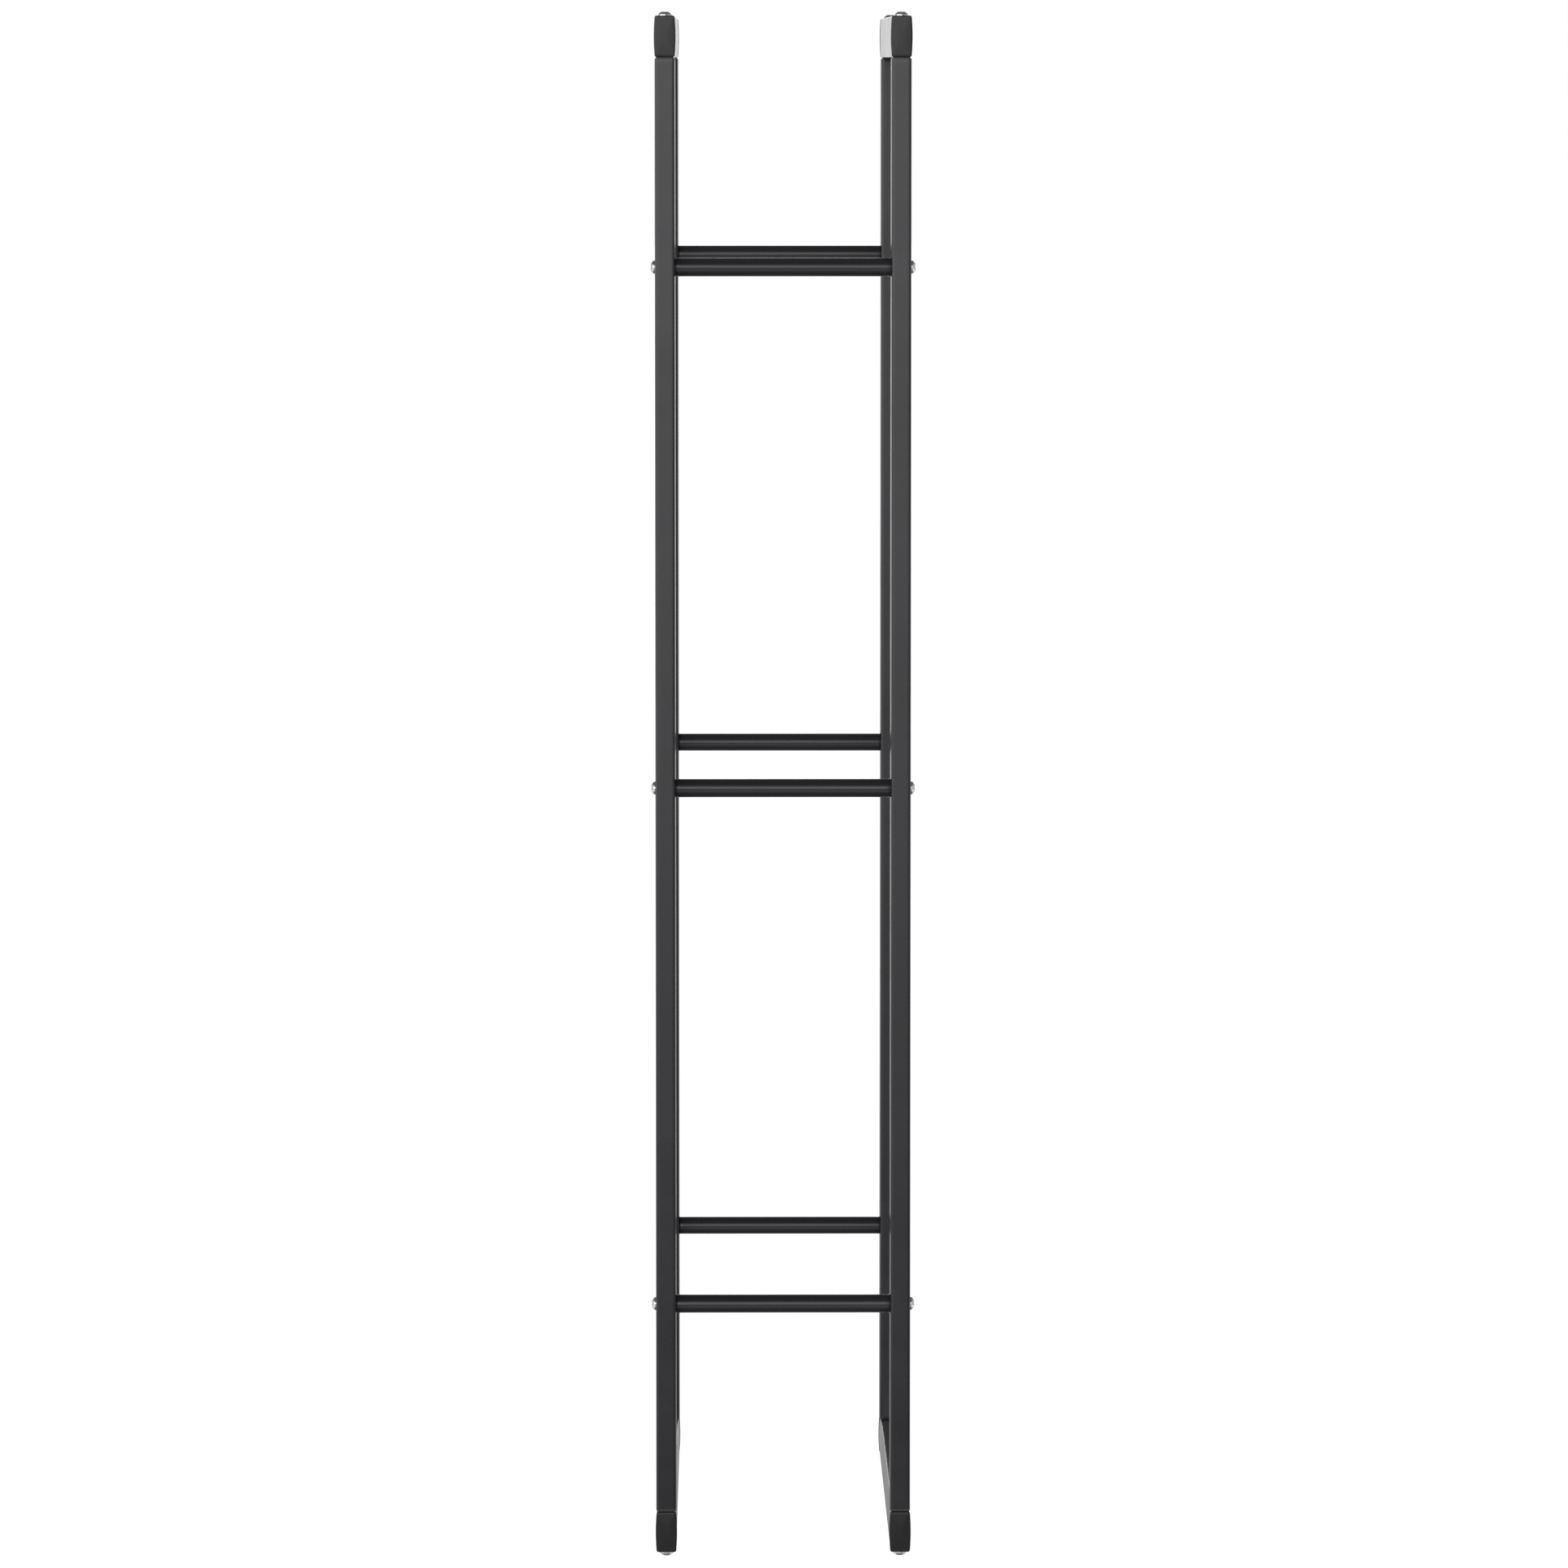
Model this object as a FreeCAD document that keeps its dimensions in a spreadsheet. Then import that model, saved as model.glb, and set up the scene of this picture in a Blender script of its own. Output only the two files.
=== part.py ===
import FreeCAD, Part
import math
import os
import Sketcher

# Free-standing open rack. Two frames (front and back) of 40 x 20 mm tube with bowed sides are tied
# together by six round rungs, three at each end. All joints are bolted with M6 dome-head bolts.
#
# Frame: +Z up, +X from the front frame to the back frame, +Y from the right end to the left end.
# The origin is the centre of the footprint, on the floor under the four foot bolts.
# All sizes are in millimetres.

SIZES = {
    "rack_width": 600,        # along Y, over the end caps
    "rack_depth": 250,        # along X, over the end caps
    "frame_height": 1500,     # underside of the bottom rails to the top of the top rails
    "tube_broad": 40,         # section of the uprights (along Y) and of the rails (along Z)
    "tube_thick": 20.2,       # the same section along X, at the middle of its bowed sides
    "tube_side": 216,         # radius of the bowed sides
    "tube_corner": 2,         # outer corner radius
    "wall": 1.2,              # wall of the uprights and rails
    "cap_thick": 21,          # a cap's flange along X: it stands a little proud of the tube
    "cap_flange": 2,          # thickness of the cap that shows at a rail's end
    "cap_plug": 12,           # depth of the cap inside the rail
    "cap_wall": 1.8,          # wall of the cap's hollow plug
    "cap_edge": 1.2,          # rounding of the cap's outer edge
    "plug_gap": 0.05,         # gap on each side between a pressed-in piece and its tube
    "rung_radius": 9,
    "rung_wall": 1,
    "rung_first": 243,        # underside of the bottom rails to the axis of the bottom rungs
    "rung_pitch": 507,        # from one rung's axis to the next
    "end_inset": 20,          # rail end to the axis of the bolts and rungs near it
    "plug_length": 25,        # threaded plug's depth in an upright's end
    "top_seam": 1.2,          # thickness of the plug's flange, between an upright and a top rail
    "bottom_seam": 0.4,       # the same at the bottom rails
    "seam_inset": 1.2,        # how far the flange stays inside the tube's outline
    "insert_length": 22,      # threaded insert in a rung's end
    "thread_bore": 3.05,      # radius of the threaded bores
    "bolt_hole": 3.25,        # radius of the clearance holes
    "bolt_radius": 3,
    "bolt_tip": 0.6,          # chamfer at the bolt's tip
    "head_radius": 6.5,
    "head_height": 3.8,
    "head_rim": 1.2,          # straight rim under the head's dome
    "head_flat": 3.3,         # radius of the flat around the socket
    "socket_flats": 4,        # hex socket, across flats
    "socket_depth": 2.4,
    "foot_height": 6.2,       # the foot bolts' heads have a deeper rim
    "rail_bolt": 60,          # length under the head
    "rung_bolt": 40,
}

ENDS = {"right": -1, "left": 1}
SIDES = {"front": -1, "back": 1}
LEVELS = {"bottom": 0, "middle": 1, "top": 2}
QUARTER = math.pi / 2

# Distances that several pieces share, as expressions of the sheet.
RAIL_TOP = "(Size.foot_height + Size.tube_broad)"
FRAME_X = "(Size.rack_depth - Size.cap_thick) / 2"
END_Y = "(Size.rack_width / 2 - Size.end_inset)"
RUNG_Z = "(Size.foot_height + Size.rung_first)"
RUNG_LENGTH = "(Size.rack_depth - Size.cap_thick - Size.tube_thick)"

doc = FreeCAD.newDocument("Rack")
sheet = doc.addObject("Spreadsheet::Sheet", "Size")
for row, (alias, number) in enumerate(SIZES.items(), start=1):
    sheet.set(f"A{row}", alias)
    sheet.set(f"B{row}", str(number))
    sheet.setAlias(f"B{row}", alias)
doc.recompute()

nodes = []


def value(expression):
    """The number that an expression of the sheet gives now."""
    return float(sheet.evalExpression(expression))


def new_body(name):
    """A body that becomes the node called name."""
    body = doc.addObject("PartDesign::Body", name)
    body.Label = name
    nodes.append(body)
    return body


def place(body, x="0", y="0", z="0", axis=(0, 0, 1), angle=0):
    """Turns a body about an axis through its own origin, then moves it to x, y, z."""
    body.Placement = FreeCAD.Placement(
        FreeCAD.Vector(), FreeCAD.Rotation(FreeCAD.Vector(*axis), angle)
    )
    for letter, expression in zip("xyz", (x, y, z)):
        body.setExpression(f"Placement.Base.{letter}", expression)


def new_sketch(body, name, role, lift=None):
    """A sketch on one of the body's origin planes, raised along its normal by lift."""
    sketch = body.newObject("Sketcher::SketchObject", name)
    plane = next(item for item in body.Origin.OriginFeatures if item.Role == role)
    sketch.AttachmentSupport = [(plane, "")]
    sketch.MapMode = "FlatFace"
    if lift:
        sketch.setExpression("AttachmentOffset.Base.z", lift)
    return sketch


def origin_axis(body, role):
    """One of the body's own origin axes, as a link for a pattern or revolution."""
    return (next(item for item in body.Origin.OriginFeatures if item.Role == role), [""])


def fix(sketch, kind, *where, to):
    """Adds a dimension of the sketch and binds it to the expression to."""
    index = sketch.addConstraint(Sketcher.Constraint(kind, *where, value(to)))
    sketch.setExpression(f"Constraints[{index}]", to)


def join_smoothly(sketch, pieces):
    """Joins a closed chain of lines and arcs end to start, tangent at every joint."""
    for piece, after in zip(pieces, pieces[1:] + pieces[:1]):
        sketch.addConstraint(Sketcher.Constraint("Tangent", piece, 2, after, 1))


def arc(centre, radius, first, last):
    """A counter-clockwise arc between two angles, in radians."""
    circle = Part.Circle(FreeCAD.Vector(*centre, 0), FreeCAD.Vector(0, 0, 1), radius)
    return Part.ArcOfCircle(circle, first, last)


def line(start, end):
    return Part.LineSegment(FreeCAD.Vector(*start, 0), FreeCAD.Vector(*end, 0))


def draw_circle(sketch, radius, x="0", y="0"):
    """A circle whose centre and radius follow expressions; a centre may lie below or left of 0."""
    centre = FreeCAD.Vector(value(x), value(y), 0)
    index = sketch.addGeometry(Part.Circle(centre, FreeCAD.Vector(0, 0, 1), value(radius)), False)
    fix(sketch, "Radius", index, to=radius)
    for kind, expression in (("DistanceX", x), ("DistanceY", y)):
        if value(expression) < 0:
            fix(sketch, kind, index, 3, -1, 1, to=f"-({expression})")
        else:
            fix(sketch, kind, -1, 1, index, 3, to=expression)


def draw_bowed_rectangle(sketch, inset, thick="Size.tube_thick"):
    """The tubes' outline moved inwards by inset: its two narrow edges are flat, its broad sides bow out."""
    half_broad = f"(Size.tube_broad / 2 - {inset})"
    half_thick = f"({thick} / 2 - {inset})"
    side = f"(Size.tube_side - {inset})"
    corner = f"max(Size.tube_corner - {inset}; Size.tube_corner / 4)"
    y = value(half_broad)
    side_radius = value(side)
    corner_radius = value(corner)
    side_x = side_radius - value(half_thick)
    reach = side_radius - corner_radius
    corner_y = y - corner_radius
    turn = math.asin(corner_y / reach)
    corner_x = reach * math.cos(turn) - side_x
    right, upper_right, top, upper_left, left, lower_left, bottom, lower_right = sketch.addGeometry([
        arc((-side_x, 0), side_radius, -turn, turn),
        arc((corner_x, corner_y), corner_radius, turn, QUARTER),
        line((corner_x, y), (-corner_x, y)),
        arc((-corner_x, corner_y), corner_radius, QUARTER, 2 * QUARTER - turn),
        arc((side_x, 0), side_radius, 2 * QUARTER - turn, 2 * QUARTER + turn),
        arc((-corner_x, -corner_y), corner_radius, 2 * QUARTER + turn, 3 * QUARTER),
        line((-corner_x, -y), (corner_x, -y)),
        arc((corner_x, -corner_y), corner_radius, 3 * QUARTER, 4 * QUARTER - turn),
    ], False)
    join_smoothly(sketch, [right, upper_right, top, upper_left, left, lower_left, bottom, lower_right])
    for flat in (bottom, top):
        sketch.addConstraint(Sketcher.Constraint("Horizontal", flat))
    for bow in (right, left):
        sketch.addConstraint(Sketcher.Constraint("PointOnObject", bow, 3, -1))
    for other in (lower_right, upper_right, upper_left):
        sketch.addConstraint(Sketcher.Constraint("Equal", lower_left, other))
    sketch.addConstraint(Sketcher.Constraint("Equal", left, right))
    fix(sketch, "Radius", lower_left, to=corner)
    fix(sketch, "Radius", left, to=side)
    fix(sketch, "DistanceX", right, 3, -1, 1, to=f"{side} - {half_thick}")
    fix(sketch, "DistanceX", -1, 1, left, 3, to=f"{side} - {half_thick}")
    fix(sketch, "DistanceY", -1, 1, top, 1, to=half_broad)
    fix(sketch, "DistanceY", bottom, 1, -1, 1, to=half_broad)


def draw_hexagon(sketch, flats):
    """A regular hexagon about the sketch's origin, two of its sides level."""
    corner_radius = f"{flats} / sqrt(3)"
    reach = value(corner_radius)
    angles = [step * math.pi / 3 for step in range(6)]
    corners = [FreeCAD.Vector(reach * math.cos(angle), reach * math.sin(angle), 0) for angle in angles]
    sides = sketch.addGeometry(
        [Part.LineSegment(a, b) for a, b in zip(corners, corners[1:] + corners[:1])], False
    )
    ring = sketch.addGeometry(Part.Circle(FreeCAD.Vector(), FreeCAD.Vector(0, 0, 1), reach), True)
    sketch.addConstraint(Sketcher.Constraint("Coincident", ring, 3, -1, 1))
    for side, after in zip(sides, sides[1:] + sides[:1]):
        sketch.addConstraint(Sketcher.Constraint("Coincident", side, 2, after, 1))
        sketch.addConstraint(Sketcher.Constraint("PointOnObject", side, 1, ring))
    for side in sides[1:]:
        sketch.addConstraint(Sketcher.Constraint("Equal", sides[0], side))
    sketch.addConstraint(Sketcher.Constraint("Horizontal", sides[1]))
    fix(sketch, "Radius", ring, to=corner_radius)


def pad(body, sketch, length, both_ways=False, backwards=False):
    feature = body.newObject("PartDesign::Pad", "Pad")
    feature.Profile = sketch
    feature.SideType = "Symmetric" if both_ways else "One side"
    feature.Reversed = backwards
    feature.setExpression("Length", length)
    return feature


def cut_through(body, sketch):
    """Cuts the sketch through everything, both ways from its plane."""
    feature = body.newObject("PartDesign::Pocket", "Holes")
    feature.Profile = sketch
    feature.Type = "ThroughAll"
    feature.SideType = "Symmetric"
    return feature


def make_upright(side, end):
    """Bowed tube with its narrow edges towards the rack's ends and three cross holes for rung bolts."""
    body = new_body(f"{side}_{end}_upright")
    section = new_sketch(body, "Section", "XY_Plane")
    draw_bowed_rectangle(section, "0")
    draw_bowed_rectangle(section, "Size.wall")
    pad(body, section, "Size.frame_height - 2 * Size.tube_broad - Size.bottom_seam - Size.top_seam")
    holes = new_sketch(body, "RungHoles", "YZ_Plane")
    for step in LEVELS.values():
        height = f"Size.rung_first - Size.tube_broad - Size.bottom_seam + {step} * Size.rung_pitch"
        draw_circle(holes, "Size.bolt_hole", y=height)
    cut_through(body, holes)
    place(body, f"{SIDES[side]} * {FRAME_X}", f"{ENDS[end]} * {END_Y}", f"{RAIL_TOP} + Size.bottom_seam")


def make_rail(side, level):
    """The same bowed tube lying along Y, with a hole down through both walls near each end."""
    body = new_body(f"{side}_{level}_rail")
    section = new_sketch(body, "Section", "XZ_Plane")
    draw_bowed_rectangle(section, "0")
    draw_bowed_rectangle(section, "Size.wall")
    pad(body, section, "Size.rack_width - 2 * Size.cap_flange", both_ways=True)
    holes = new_sketch(body, "BoltHoles", "XY_Plane")
    for toward in ENDS.values():
        draw_circle(holes, "Size.bolt_hole", y=f"{toward} * {END_Y}")
    cut_through(body, holes)
    place(body, f"{SIDES[side]} * {FRAME_X}", "0", rail_middle(level))


def rail_middle(level):
    """Height of a rail's middle line."""
    lowest = "Size.foot_height + Size.tube_broad / 2"
    return lowest if level == "bottom" else f"{lowest} + Size.frame_height - Size.tube_broad"


def make_cap(side, level, end):
    """Moulded cap: a round-edged flange a little thicker than the rail, on a hollow plug."""
    body = new_body(f"{side}_{level}_{end}_cap")
    face = new_sketch(body, "Face", "XZ_Plane")
    draw_bowed_rectangle(face, "0", thick="Size.cap_thick")
    pad(body, face, "Size.cap_flange", backwards=True)
    plug = new_sketch(body, "Plug", "XZ_Plane")
    draw_bowed_rectangle(plug, "(Size.wall + Size.plug_gap)")
    draw_bowed_rectangle(plug, "(Size.wall + Size.cap_wall)")
    shell = pad(body, plug, "Size.cap_flange + Size.cap_plug", backwards=True)
    doc.recompute()
    edges = [
        f"Edge{number}"
        for number, edge in enumerate(shell.Shape.Edges, start=1)
        if edge.BoundBox.YMax < SIZES["cap_flange"] / 10
    ]
    rounding = body.newObject("PartDesign::Fillet", "Edge")
    rounding.Base = (shell, edges)
    rounding.setExpression("Radius", "Size.cap_edge")
    place(
        body,
        f"{SIDES[side]} * {FRAME_X}",
        f"{ENDS[end]} * Size.rack_width / 2",
        rail_middle(level),
        angle=0 if end == "right" else 180,
    )


def make_rung(end, level):
    """Round tube that butts between the front and back uprights."""
    body = new_body(f"{end}_{level}_rung")
    section = new_sketch(body, "Section", "YZ_Plane")
    draw_circle(section, "Size.rung_radius")
    draw_circle(section, "(Size.rung_radius - Size.rung_wall)")
    pad(body, section, RUNG_LENGTH, both_ways=True)
    place(body, "0", f"{ENDS[end]} * {END_Y}", f"{RUNG_Z} + {LEVELS[level]} * Size.rung_pitch")


def make_upright_plug(side, end, level):
    """Threaded plug pressed into an upright's end; its thin flange parts the upright from the rail."""
    body = new_body(f"{side}_{end}_{level}_plug")
    flange = new_sketch(body, "Flange", "XY_Plane")
    draw_bowed_rectangle(flange, "Size.seam_inset")
    draw_circle(flange, "Size.thread_bore")
    pad(body, flange, f"Size.{level}_seam")
    core = new_sketch(body, "Core", "XY_Plane")
    draw_bowed_rectangle(core, "(Size.wall + Size.plug_gap)")
    draw_circle(core, "Size.thread_bore")
    pad(body, core, f"Size.{level}_seam + Size.plug_length")
    top = level == "top"
    place(
        body,
        f"{SIDES[side]} * {FRAME_X}",
        f"{ENDS[end]} * {END_Y}",
        "Size.foot_height + Size.frame_height - Size.tube_broad" if top else RAIL_TOP,
        axis=(1, 0, 0),
        angle=180 if top else 0,
    )


def revolve_bolt(body, length, head="Size.head_height"):
    """Dome-head bolt along Z: the head's seat is at z = 0, and the shank hangs below it.

    A head taller than the usual one has a deeper rim under the same dome.
    """
    rim_height = f"({head} - Size.head_height + Size.head_rim)"
    profile = new_sketch(body, "Profile", "XZ_Plane")
    shank = SIZES["bolt_radius"]
    tip = SIZES["bolt_tip"]
    reach = value(length)
    rim = (SIZES["head_radius"], value(rim_height))
    crown = (SIZES["head_flat"], value(head))
    centre_y = (crown[0] ** 2 + crown[1] ** 2 - rim[0] ** 2 - rim[1] ** 2) / (2 * (crown[1] - rim[1]))
    dome = math.dist(rim, (0, centre_y))
    start, finish = (math.atan2(point[1] - centre_y, point[0]) for point in (rim, crown))
    axis, end, chamfer, side, seat, edge, cap, top = profile.addGeometry([
        line((0, crown[1]), (0, -reach)),
        line((0, -reach), (shank - tip, -reach)),
        line((shank - tip, -reach), (shank, tip - reach)),
        line((shank, tip - reach), (shank, 0)),
        line((shank, 0), (rim[0], 0)),
        line((rim[0], 0), rim),
        arc((0, centre_y), dome, start, finish),
        line(crown, (0, crown[1])),
    ], False)
    chain = [axis, end, chamfer, side, seat, edge, cap, top]
    for piece, after in zip(chain, chain[1:] + chain[:1]):
        profile.addConstraint(Sketcher.Constraint("Coincident", piece, 2, after, 1))
    for level in (end, seat, top):
        profile.addConstraint(Sketcher.Constraint("Horizontal", level))
    for upright in (side, edge):
        profile.addConstraint(Sketcher.Constraint("Vertical", upright))
    for point in ((axis, 1), (axis, 2), (cap, 3)):
        profile.addConstraint(Sketcher.Constraint("PointOnObject", *point, -2))
    profile.addConstraint(Sketcher.Constraint("PointOnObject", seat, 1, -1))
    fix(profile, "DistanceX", -1, 1, side, 2, to="Size.bolt_radius")
    fix(profile, "DistanceX", chamfer, 1, chamfer, 2, to="Size.bolt_tip")
    fix(profile, "DistanceY", chamfer, 1, chamfer, 2, to="Size.bolt_tip")
    fix(profile, "DistanceY", end, 1, -1, 1, to=length)
    fix(profile, "DistanceX", -1, 1, edge, 1, to="Size.head_radius")
    fix(profile, "DistanceY", edge, 1, edge, 2, to=rim_height)
    fix(profile, "DistanceX", -1, 1, top, 1, to="Size.head_flat")
    fix(profile, "DistanceY", -1, 1, top, 1, to=head)
    blank = body.newObject("PartDesign::Revolution", "Blank")
    blank.Profile = profile
    blank.ReferenceAxis = origin_axis(body, "Z_Axis")
    blank.Angle = 360
    hexagon = new_sketch(body, "Hexagon", "XY_Plane", lift=head)
    draw_hexagon(hexagon, "Size.socket_flats")
    socket = body.newObject("PartDesign::Pocket", "Socket")
    socket.Profile = hexagon
    socket.setExpression("Length", "Size.socket_depth")


def make_rail_bolt(side, end, level):
    """Bolt down (top) or up (bottom, its head is a foot) through a rail into an upright's plug."""
    body = new_body(f"{side}_{end}_{level}_bolt")
    foot = level == "bottom"
    revolve_bolt(body, "Size.rail_bolt", head="Size.foot_height" if foot else "Size.head_height")
    place(
        body,
        f"{SIDES[side]} * {FRAME_X}",
        f"{ENDS[end]} * {END_Y}",
        "Size.foot_height" if foot else "Size.foot_height + Size.frame_height",
        axis=(1, 0, 0),
        angle=180 if foot else 0,
    )


def repeat_for_rungs(body, heights, ends, backwards=False):
    """Repeats a body for three rung heights along one of its axes and two rack ends along another."""
    body.AllowCompound = True
    doc.recompute()
    pattern = body.newObject("PartDesign::LinearPattern", "Pattern")
    pattern.TransformMode = "Whole shape"
    pattern.Direction = origin_axis(body, heights)
    pattern.Reversed = backwards
    pattern.setExpression("Length", "2 * Size.rung_pitch")
    pattern.Occurrences = 3
    pattern.Direction2 = origin_axis(body, ends)
    pattern.setExpression("Length2", f"2 * {END_Y}")
    pattern.Occurrences2 = 2
    body.Tip = pattern


def make_rung_bolts(side):
    """Six bolts through one frame's uprights, heads outwards, one for each rung's end."""
    body = new_body(f"{side}_rung_bolts")
    revolve_bolt(body, "Size.rung_bolt")
    repeat_for_rungs(body, "X_Axis", "Y_Axis", backwards=side == "back")
    toward = SIDES[side]
    seat = f"{toward} * ({FRAME_X} + Size.tube_thick / 2)"
    place(body, seat, f"-{END_Y}", RUNG_Z, axis=(0, 1, 0), angle=90 * toward)


def make_rung_inserts(side):
    """Six threaded inserts, one pressed into the end of each rung at one frame."""
    body = new_body(f"{side}_rung_inserts")
    section = new_sketch(body, "Section", "YZ_Plane")
    draw_circle(section, "(Size.rung_radius - Size.rung_wall - Size.plug_gap)")
    draw_circle(section, "Size.thread_bore")
    pad(body, section, "Size.insert_length", backwards=side == "back")
    repeat_for_rungs(body, "Z_Axis", "Y_Axis")
    place(body, f"{SIDES[side]} * {RUNG_LENGTH} / 2", f"-{END_Y}", RUNG_Z)


for side in SIDES:
    for level in ("bottom", "top"):
        make_rail(side, level)
        for end in ENDS:
            make_cap(side, level, end)
            make_upright_plug(side, end, level)
            make_rail_bolt(side, end, level)
    for end in ENDS:
        make_upright(side, end)
    make_rung_bolts(side)
    make_rung_inserts(side)
for end in ENDS:
    for level in LEVELS:
        make_rung(end, level)
doc.recompute()

# Nothing is written unless every object is sound and every cut has taken material away.
for item in doc.Objects:
    if {"Invalid", "Error"} & set(item.State):
        raise RuntimeError(f"{item.Label} failed: {item.State}")
    if item.TypeId == "PartDesign::Pocket" and item.Shape.Volume >= item.BaseFeature.Shape.Volume - 1:
        raise RuntimeError(f"{item.Label} cuts nothing")
for body in nodes:
    if body.Shape.isNull() or not body.Shape.isValid():
        raise RuntimeError(f"{body.Label} has no valid shape")

os.makedirs("parts", exist_ok=True)
for body in nodes:
    body.Shape.exportStep(f"parts/{body.Label}.step")
print(len(nodes), "nodes,", sum(len(body.Shape.Solids) for body in nodes), "solids")
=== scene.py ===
import math

import bpy
import numpy as np
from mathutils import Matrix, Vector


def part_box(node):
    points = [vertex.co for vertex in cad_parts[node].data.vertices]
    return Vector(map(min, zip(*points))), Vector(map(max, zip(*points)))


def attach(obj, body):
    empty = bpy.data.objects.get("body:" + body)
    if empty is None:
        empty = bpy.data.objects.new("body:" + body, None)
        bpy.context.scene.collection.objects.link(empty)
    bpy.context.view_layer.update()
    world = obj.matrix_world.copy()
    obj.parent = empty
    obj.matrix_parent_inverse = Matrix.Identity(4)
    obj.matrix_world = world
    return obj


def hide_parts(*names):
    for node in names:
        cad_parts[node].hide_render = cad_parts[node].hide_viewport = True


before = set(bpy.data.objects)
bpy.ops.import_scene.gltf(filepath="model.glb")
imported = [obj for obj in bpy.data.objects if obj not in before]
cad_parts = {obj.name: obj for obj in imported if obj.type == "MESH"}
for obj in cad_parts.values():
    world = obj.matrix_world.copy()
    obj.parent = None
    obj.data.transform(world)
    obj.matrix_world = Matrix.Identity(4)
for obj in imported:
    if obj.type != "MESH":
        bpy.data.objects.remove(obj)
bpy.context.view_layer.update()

# Sizes in metres that the node boxes don't give. U runs across a tube's bowed sides, V across its
# narrow edges and S along it.
MM = 0.001
TUBE_THICK = 20.2 * MM
TUBE_BROAD = 40 * MM
TUBE_SIDE = 216 * MM             # radius of a bowed side
TUBE_CORNER = 2 * MM
TUBE_WALL = 1.2 * MM
RUNG_RADIUS = 9 * MM
RUNG_WALL = 1 * MM
RIM = 0.25 * MM                  # rounding that paint leaves on a sawn tube end
THIN_PAINT = 1.5 * MM            # distance from a sawn end over which the paint thickens
FIRST_RINGS = (4 * MM, 12 * MM)  # a tube's rings nearest to its end; the even ones follow
EVEN_RINGS_FROM = 30 * MM
CAP_THICK = 21 * MM
CAP_FLANGE = 2 * MM
CAP_EDGE = 1.2 * MM
CAP_CROWN = 0.25 * MM
CAP_BACK_EDGE = 0.15 * MM
CAP_PLUG_INSET = 1.25 * MM
CAP_ROOT_INSET = CAP_PLUG_INSET + 0.1 * MM
CAP_TIP_INSET = CAP_PLUG_INSET + 0.4 * MM
CAP_HOLLOW_INSET = 3.0 * MM
CAP_RIDGES = (3.5, 6.5, 9.5)     # mm behind the flange
RIDGE_PROFILE = ((-0.9, 0.2), (0.0, 0.0), (0.5, 0.0), (0.6, 0.2))    # mm along, mm below the crest
PLUG_FLANGE = {"bottom": 0.4 * MM, "top": 1.2 * MM}
PLUG_FLANGE_INSET = 1.2 * MM
PLUG_CORE_INSET = 1.25 * MM
PLUG_TIP_INSET = 1.75 * MM
PLUG_EDGE = 0.15 * MM
PLUG_BORE = 3.05 * MM
BORE_LEAD = 0.5 * MM
HEAD_RADIUS = 6.5 * MM
HEAD_HEIGHT = 3.8 * MM
HEAD_RIM = 1.2 * MM
HEAD_FLAT = 3.3 * MM
HEAD_EDGE = ((0.22, 0.28), (0.09, 0.12), (0.02, -0.06), (0.0, -0.3))    # mm inwards, mm over the rim
FOOT_HEIGHT = 6.2 * MM
SOCKET_FLATS = 4 * MM
SOCKET_DEPTH = 2.4 * MM
SOCKET_CHAMFER = 0.16 * MM
SHANK_RADIUS = 3 * MM
SHANK_FILLET = 0.3 * MM
BOLT_TIP = ((0.5, 0.3), (0.8, 0.0))    # mm inside the shank, mm from the end
BOLT_SPIN = 0.7                  # radians from one rung bolt's hexagon to the next one's
THREAD_PITCH = 1 * MM
THREAD_DEPTH = 0.45 * MM
THREAD_LENGTH = 24 * MM
THREAD_STEPS = 6                 # rings to each turn of the thread
INSERT_LENGTH = 22 * MM
INSERT_GAP = 0.05 * MM
INSERT_EDGE = 0.4 * MM
INSERT_MOUTH = 3.6 * MM
KNURL_TEETH = 24
KNURL_DEPTH = 0.12 * MM

# How finely each part is divided: points round the outlines, and steps of the rounded edges.
SIDE_POINTS = 9
CORNER_POINTS = 8
EDGE_POINTS = 3
RUNG_POINTS = 64
BOLT_POINTS = 48
INSERT_POINTS = 72
EVEN_RINGS = 6
RIM_STEPS = 4
CAP_EDGE_STEPS = 8
DOME_STEPS = 14

SIDES = ("front", "back")
ENDS = ("right", "left")
RAIL_LEVELS = ("bottom", "top")
RUNG_LEVELS = ("bottom", "middle", "top")
X = np.array([1.0, 0, 0])
Y = np.array([0, 1.0, 0])
Z = np.array([0, 0, 1.0])


# ---------------------------------------------------------------- surfaces worked out with numpy

def middle(node):
    """The centre of a CAD node's box."""
    low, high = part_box(node)
    return np.array((low + high) / 2)


def arc(centre, radius, first, last, count):
    """Points of a circle from one angle to another: centre + radius * (cos a, sin a)."""
    angle = np.linspace(first, last, count)
    return np.stack([centre[0] + radius * np.cos(angle), centre[1] + radius * np.sin(angle)], 1)


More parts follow.
